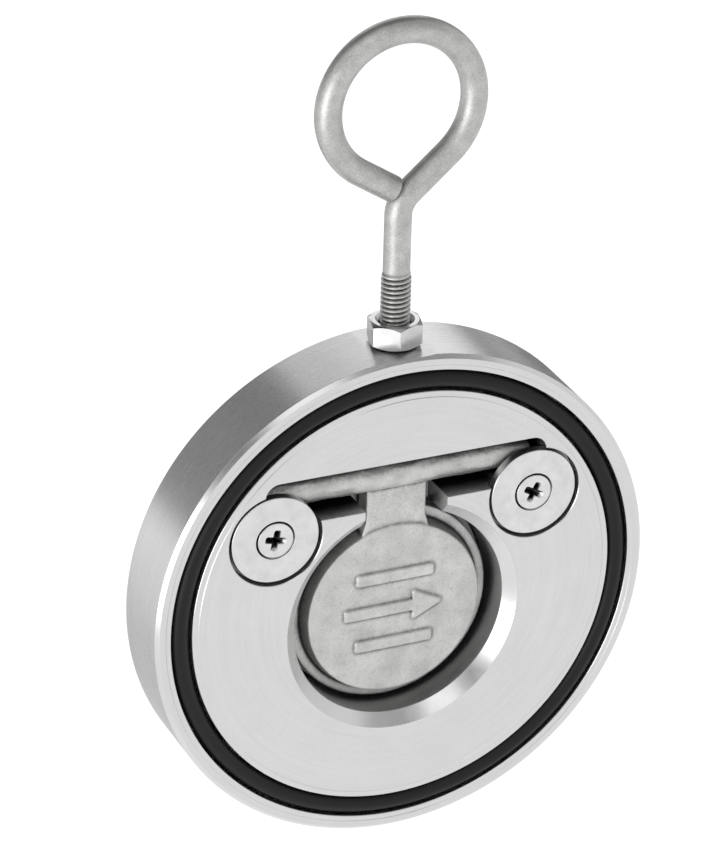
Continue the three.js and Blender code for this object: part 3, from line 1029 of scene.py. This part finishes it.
def thread_dirt(places):
    """Painted shade in the roots of the thread."""
    x, y, z = places.T
    on_thread = ramp(z, THREAD_HIGH + 0.3, THREAD_HIGH - 0.3)
    return ramp(np.hypot(x, y), THREAD_R - 0.22, THREAD_R - 0.52) * on_thread


def eye_bolt():
    """The bent rod: a helical thread on its stem, and a slightly uneven skin above it."""
    line = rod_line()
    loops = []
    across = Vector((0, 1, 0))
    for index, point in enumerate(line):
        before = line[max(0, index - 1)]
        after = line[min(len(line) - 1, index + 1)]
        heading = (after - before).normalized()
        side = across.cross(heading)
        loop = []
        for step in range(ROD_SIDES):
            angle = 2 * math.pi * step / ROD_SIDES
            if point.z < THREAD_HIGH:
                radius = thread_radius(point.z, angle)
            else:
                bulge = noise.noise(point * 0.12 + Vector((math.cos(angle), math.sin(angle), 0)) * 0.5)
                radius = ROD_R + ROD_WAVE * bulge
            loop.append(point + (side * math.cos(angle) + across * math.sin(angle)) * radius)
        loops.append(loop)
    end = line[-1]
    end_heading = (end - line[-2]).normalized()
    last_loop = loops[-1]
    for inset, along in END_ROUNDING:
        centre = end + end_heading * along
        loops.append([centre + (point - end) * (1 - inset) for point in last_loop])
    obj = loft("eye_bolt_fine", loops)
    smooth_shading(obj, angle_degrees=40)
    # the thread's roots get painted shade
    add_dirt(obj, rounds=1, gain=0, extra=thread_dirt)
    finish_piece(obj, "lifting_eye", "bent_rod_steel", "eye_bolt", pickled_steel())


NUT_TURN = math.radians(12.3)
NUT_FLAT_R = 5.0  # from its axis to a flat
NUT_CORNER_R = NUT_FLAT_R / math.cos(math.pi / 6)
NUT_CORNER_EDGE = 0.25
NUT_FACE_R = NUT_FLAT_R * 0.96
NUT_FACE_EDGE = 0.15
NUT_CONE_TILT = math.radians(30)
NUT_HOLE_R = 3.2
NUT_COUNTERSINK = 0.75


def lock_nut(material):
    """A hexagon nut with the usual cone on its corners and countersunk hole."""
    low, high = box_mm("lock_nut")
    wide = NUT_CORNER_R + 0.4
    slope = (wide - NUT_FACE_R) * math.tan(NUT_CONE_TILT)
    shape = [
        (0, low.z, 0),
        (NUT_FACE_R, low.z, NUT_FACE_EDGE),
        (wide, low.z + slope, 0),
        (wide, high.z - slope, 0),
        (NUT_FACE_R, high.z, NUT_FACE_EDGE),
        (0, high.z, 0),
    ]
    mouth_r = NUT_HOLE_R + NUT_COUNTERSINK + CLEAR
    hole = [
        (0, low.z - CLEAR, 0),
        (mouth_r, low.z - CLEAR, 0),
        (NUT_HOLE_R, low.z + NUT_COUNTERSINK, 0),
        (NUT_HOLE_R, high.z - NUT_COUNTERSINK, 0),
        (mouth_r, high.z + CLEAR, 0),
        (0, high.z + CLEAR, 0),
    ]
    angles = [-math.pi / 2 - NUT_TURN + index * math.pi / 3 for index in range(6)]
    corners = [(NUT_CORNER_R * math.cos(angle), NUT_CORNER_R * math.sin(angle), NUT_CORNER_EDGE) for angle in angles]
    hexagon = rounded(corners, closed=True)
    obj = loft("lock_nut_fine", [[(x, y, z) for x, y in hexagon] for z in (low.z - 0.5, high.z + 0.5)])
    combine(obj, [lathe("nut_shape", rounded(shape), SMALL_SEGMENTS * 2, axis="Z")], "INTERSECT")
    combine(obj, [lathe("nut_hole", rounded(hole), SMALL_SEGMENTS, axis="Z")])
    smooth_shading(obj, angle_degrees=20)
    finish_piece(obj, "nut", "nut_steel", "lock_nut", material)


# ------------------------------------------------------------------ studio

CAMERA_AZIMUTH = -24.55
CAMERA_ELEVATION = 26.97
CAMERA_ROLL = 1.56
CAMERA_DISTANCE = 900
CAMERA_ACROSS = 6.72
CAMERA_UP = -32.01
CAMERA_LENS = 190.45
CAMERA_SEES_M = 100
SENSOR = 36

WORLD_STRENGTH = 1.0
FLOOR_HALF = 40000
FLOOR_Z = -1300
FLOOR_GLOW = 0.25

# Name, place in metres, size in metres, watts.
LIGHTS = (
    ("key", (-1.0, -0.55, -0.03), (0.6, 0.7), 5),
    ("top", (-0.2, -1.0, 1.3), (1.2, 0.9), 2),
    ("rear strip", (0.287, 0.92, 0.444), (0.79, 0.56), 1.65),
)
# Name, azimuth and elevation in degrees, distance, size, shade.
CARDS = (
    ("rear wall", 0, 30, 2600, (9000, 3000), 0.26),
    ("overhead", 0, 68, 700, (1000, 560), 0.05),
    ("right rear", 38, -14, 650, (230, 300), 0.06),
    ("upper front", 138, 54, 700, (560, 560), 0.3),
    ("rear low", 2, -31, 900, (1150, 520), 0.55),
    ("upper left", -133, 34, 700, (330, 260), 0.06),
)


def direction(azimuth_degrees, elevation_degrees):
    """The direction at an azimuth, from +Y towards +X, and an elevation."""
    azimuth, elevation = math.radians(azimuth_degrees), math.radians(elevation_degrees)
    flat = math.cos(elevation)
    return Vector((math.sin(azimuth) * flat, math.cos(azimuth) * flat, math.sin(elevation)))


def sheet(name, half_x, half_y, z=0):
    """A flat rectangle."""
    points = [(-half_x, -half_y, z), (half_x, -half_y, z), (half_x, half_y, z), (-half_x, half_y, z)]
    return new_object(name, points, [[0, 1, 2, 3]])


def add_camera():
    azimuth, elevation, roll = (math.radians(angle) for angle in (CAMERA_AZIMUTH, CAMERA_ELEVATION, CAMERA_ROLL))
    back = Vector(
        (
            math.sin(azimuth) * math.cos(elevation),
            -math.cos(azimuth) * math.cos(elevation),
            math.sin(elevation),
        )
    )
    right = Vector((math.cos(azimuth), math.sin(azimuth), 0))
    up = back.cross(right)
    rolled_right = right * math.cos(roll) + up * math.sin(roll)
    rolled_up = up * math.cos(roll) - right * math.sin(roll)
    turn = Matrix((rolled_right, rolled_up, back)).transposed()
    place = turn @ Vector((-CAMERA_ACROSS, -CAMERA_UP, CAMERA_DISTANCE)) * MM
    data = bpy.data.cameras.new("camera")
    data.sensor_width = SENSOR
    data.lens = CAMERA_LENS
    data.clip_end = CAMERA_SEES_M
    camera = bpy.data.objects.new("camera", data)
    camera.matrix_world = Matrix.Translation(place) @ turn.to_4x4()
    bpy.context.scene.collection.objects.link(camera)
    bpy.context.scene.camera = camera


def look_at(obj, place, target):
    obj.location = place
    obj.rotation_mode = "QUATERNION"
    obj.rotation_quaternion = (Vector(target) - Vector(place)).to_track_quat("-Z", "Y")


def area_light(name, place, size, power, target=(0, 0, 0.02)):
    data = bpy.data.lights.new(name, "AREA")
    data.shape = "RECTANGLE"
    data.size, data.size_y = size
    data.energy = power
    light = bpy.data.objects.new(name, data)
    bpy.context.scene.collection.objects.link(light)
    look_at(light, place, target)


def floor():
    obj = sheet("floor", FLOOR_HALF, FLOOR_HALF, FLOOR_Z)
    shader = Shader(
        "pale floor",
        Base_Color=(0.88, 0.88, 0.88, 1),
        Roughness=0.9,
        Emission_Color=(1, 1, 1, 1),
        Emission_Strength=FLOOR_GLOW,
    )
    obj.data.materials.append(shader.material)


def card(name, azimuth_degrees, elevation_degrees, distance, size, shade):
    """A card beside the object, for the metal to reflect. The camera doesn't see it. Azimuth 0 is straight behind the
    object, along +Y, and positive azimuths lie to the right of that."""
    obj = sheet(name, size[0] / 2, size[1] / 2)
    look_at(obj, direction(azimuth_degrees, elevation_degrees) * distance * MM, (0, 0, 0))
    shader = Shader(f"{name} card", Base_Color=(shade, shade, shade, 1), Roughness=1.0)
    obj.data.materials.append(shader.material)
    obj.visible_camera = False
    obj.visible_shadow = False
    obj.visible_diffuse = False


def world():
    """Even soft light all round."""
    made = bpy.data.worlds.new("studio")
    bpy.context.scene.world = made
    made.use_nodes = True
    background = made.node_tree.nodes["Background"]
    background.inputs["Color"].default_value = (1, 1, 1, 1)
    background.inputs["Strength"].default_value = WORLD_STRENGTH


def studio():
    bpy.context.scene.view_settings.view_transform = "Standard"
    world()
    floor()
    for settings in LIGHTS:
        area_light(*settings)
    for settings in CARDS:
        card(*settings)


# ------------------------------------------------------------------ the valve

add_camera()
studio()

rubber = seal_rubber()
# the screws' cross recesses get painted shade, from 0.3 mm below the heads' top down
cross_shade = box_mm("left_washer_screw")[0].y - FRONT + 0.3
washer_steel = satin_steel("washer steel", roughness=0.31, light=0.66)
screw_steel = satin_steel("screw steel", roughness=0.27, light=0.68, shade=(cross_shade, cross_shade + 0.5))
nut_steel = satin_steel("nut steel", roughness=0.22, light=0.6)

valve_body()
for seal_node in ("downstream_face_seal", "upstream_face_seal"):
    o_ring(seal_node, "body", SEAL_R, SEAL_WIRE_R, rubber)
o_ring("disc_seal", "swing_disc", DISC_SEAL_R, DISC_SEAL_WIRE_R, rubber)
for side in ("left", "right"):
    washer(f"{side}_retaining_washer", f"{side}_washer_screw", washer_steel)
    screw(f"{side}_washer_screw", CROSS_TURN[side], screw_steel)
disc()
eye_bolt()
lock_nut(nut_steel)
